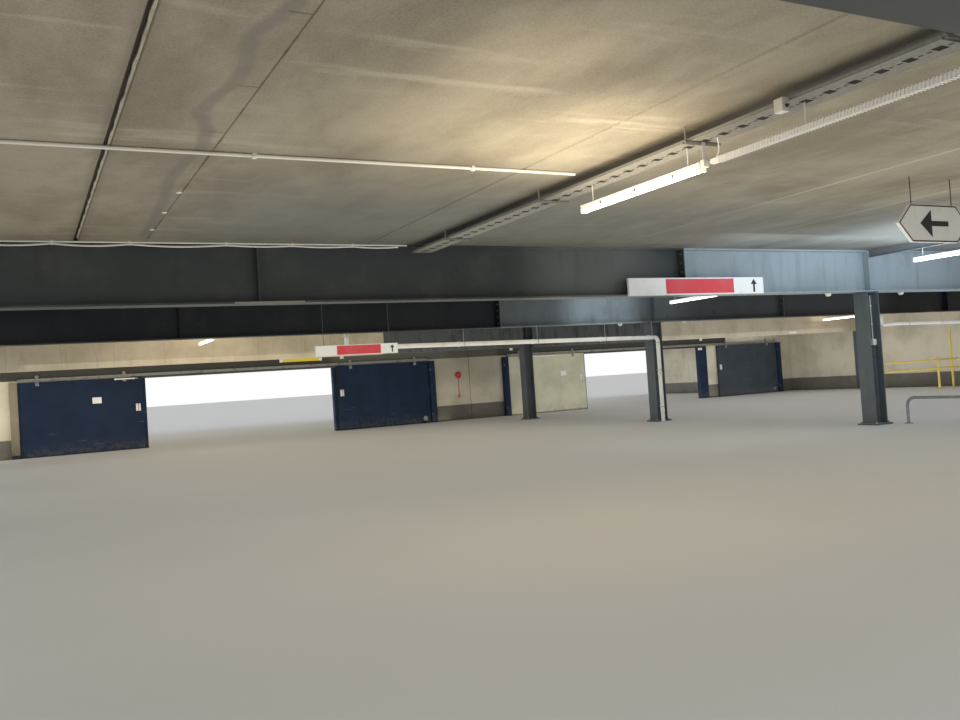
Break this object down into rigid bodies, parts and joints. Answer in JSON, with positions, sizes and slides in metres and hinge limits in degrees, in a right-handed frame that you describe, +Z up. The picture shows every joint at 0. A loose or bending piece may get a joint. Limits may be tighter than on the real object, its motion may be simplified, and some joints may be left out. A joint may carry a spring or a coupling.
{
  "type": "two-span block of a multi storey car park with sliding fire doors",
  "caption": "Open steel framed parking level with a plank deck above, guard rails, and a cross wall whose wide doorways have sliding fire doors.",
  "frame": {"origin": "floor level under the middle of the block", "axes": "+X across the two spans to the right as seen from the open front, +Y from the front to the back, +Z up"},
  "size_m": [32.2, 36.9, 4.89],
  "materials": {
    "deck_concrete": "matte",
    "topping_concrete": "matte",
    "frame_steel": "satin",
    "casing_board": "matte",
    "wall_cream": "matte",
    "door_blue": "satin",
    "door_cream": "satin",
    "door_gear": "satin",
    "galvanised": "matte",
    "fitting_white": "matte",
    "lamp_white": "satin",
    "lamp_light": "matte",
    "sign_white": "satin",
    "bell_red": "gloss",
    "barrier_yellow": "satin"
  },
  "bodies": {
    "building": {"deck_bay_1": "deck_concrete", "deck_bay_2": "deck_concrete", "deck_bay_3": "deck_concrete", "deck_bay_4": "deck_concrete", "deck_bay_5": "deck_concrete", "deck_topping": "topping_concrete", "deck_kerb": "topping_concrete", "columns_left": "frame_steel", "columns_middle": "frame_steel", "columns_right": "frame_steel", "column_ties": "frame_steel", "girder_line_1": "frame_steel", "girder_line_2": "frame_steel", "girder_line_3": "frame_steel", "girder_line_4": "frame_steel", "girder_line_5": "frame_steel", "girder_line_6": "frame_steel", "girder_casing": "casing_board", "fire_wall_left": "wall_cream", "fire_wall_middle": "wall_cream", "fire_wall_right": "wall_cream", "fire_wall_lintel_left": "wall_cream", "fire_wall_lintel_right": "wall_cream", "side_wall": "wall_cream", "fire_door_weight_boxes": "door_blue", "door_posts": "door_blue", "fire_door_rails": "door_gear", "cable_tray": "galvanised", "deck_guard_front": "galvanised", "deck_guard_back": "galvanised", "deck_guard_left": "galvanised", "deck_guard_right": "galvanised", "hoop_guard": "galvanised", "junction_box": "fitting_white", "ceiling_conduits": "fitting_white", "drain_pipe": "fitting_white", "drain_pipe_right": "fitting_white", "detectors": "fitting_white", "lamp_housings": "lamp_white", "lamp_trunking": "lamp_white", "lamp_tubes": "lamp_light", "sign_boards": "sign_white", "arrow_sign": "sign_white", "alarm_bell": "bell_red", "post_barrier": "barrier_yellow"},
    "leaf_1": {"fire_door_leaf_1": "door_blue", "fire_door_hangers_1": "door_gear"},
    "leaf_2": {"fire_door_leaf_2": "door_blue", "fire_door_hangers_2": "door_gear"},
    "leaf_3": {"fire_door_leaf_3": "door_cream", "fire_door_hangers_3": "door_gear"},
    "leaf_4": {"fire_door_leaf_4": "door_blue", "fire_door_hangers_4": "door_gear"}
  },
  "joints": [
    {"name": "leaf_1_slide", "type": "slide", "parent": "building", "child": "leaf_1", "axis": [1, 0, 0], "range_m": [0, 3.0575]},
    {"name": "leaf_2_slide", "type": "slide", "parent": "building", "child": "leaf_2", "axis": [-1, 0, 0], "range_m": [0, 3.0575]},
    {"name": "leaf_3_slide", "type": "slide", "parent": "building", "child": "leaf_3", "axis": [1, 0, 0], "range_m": [0, 2.96]},
    {"name": "leaf_4_slide", "type": "slide", "parent": "building", "child": "leaf_4", "axis": [-1, 0, 0], "range_m": [0, 3.78]}
  ]
}
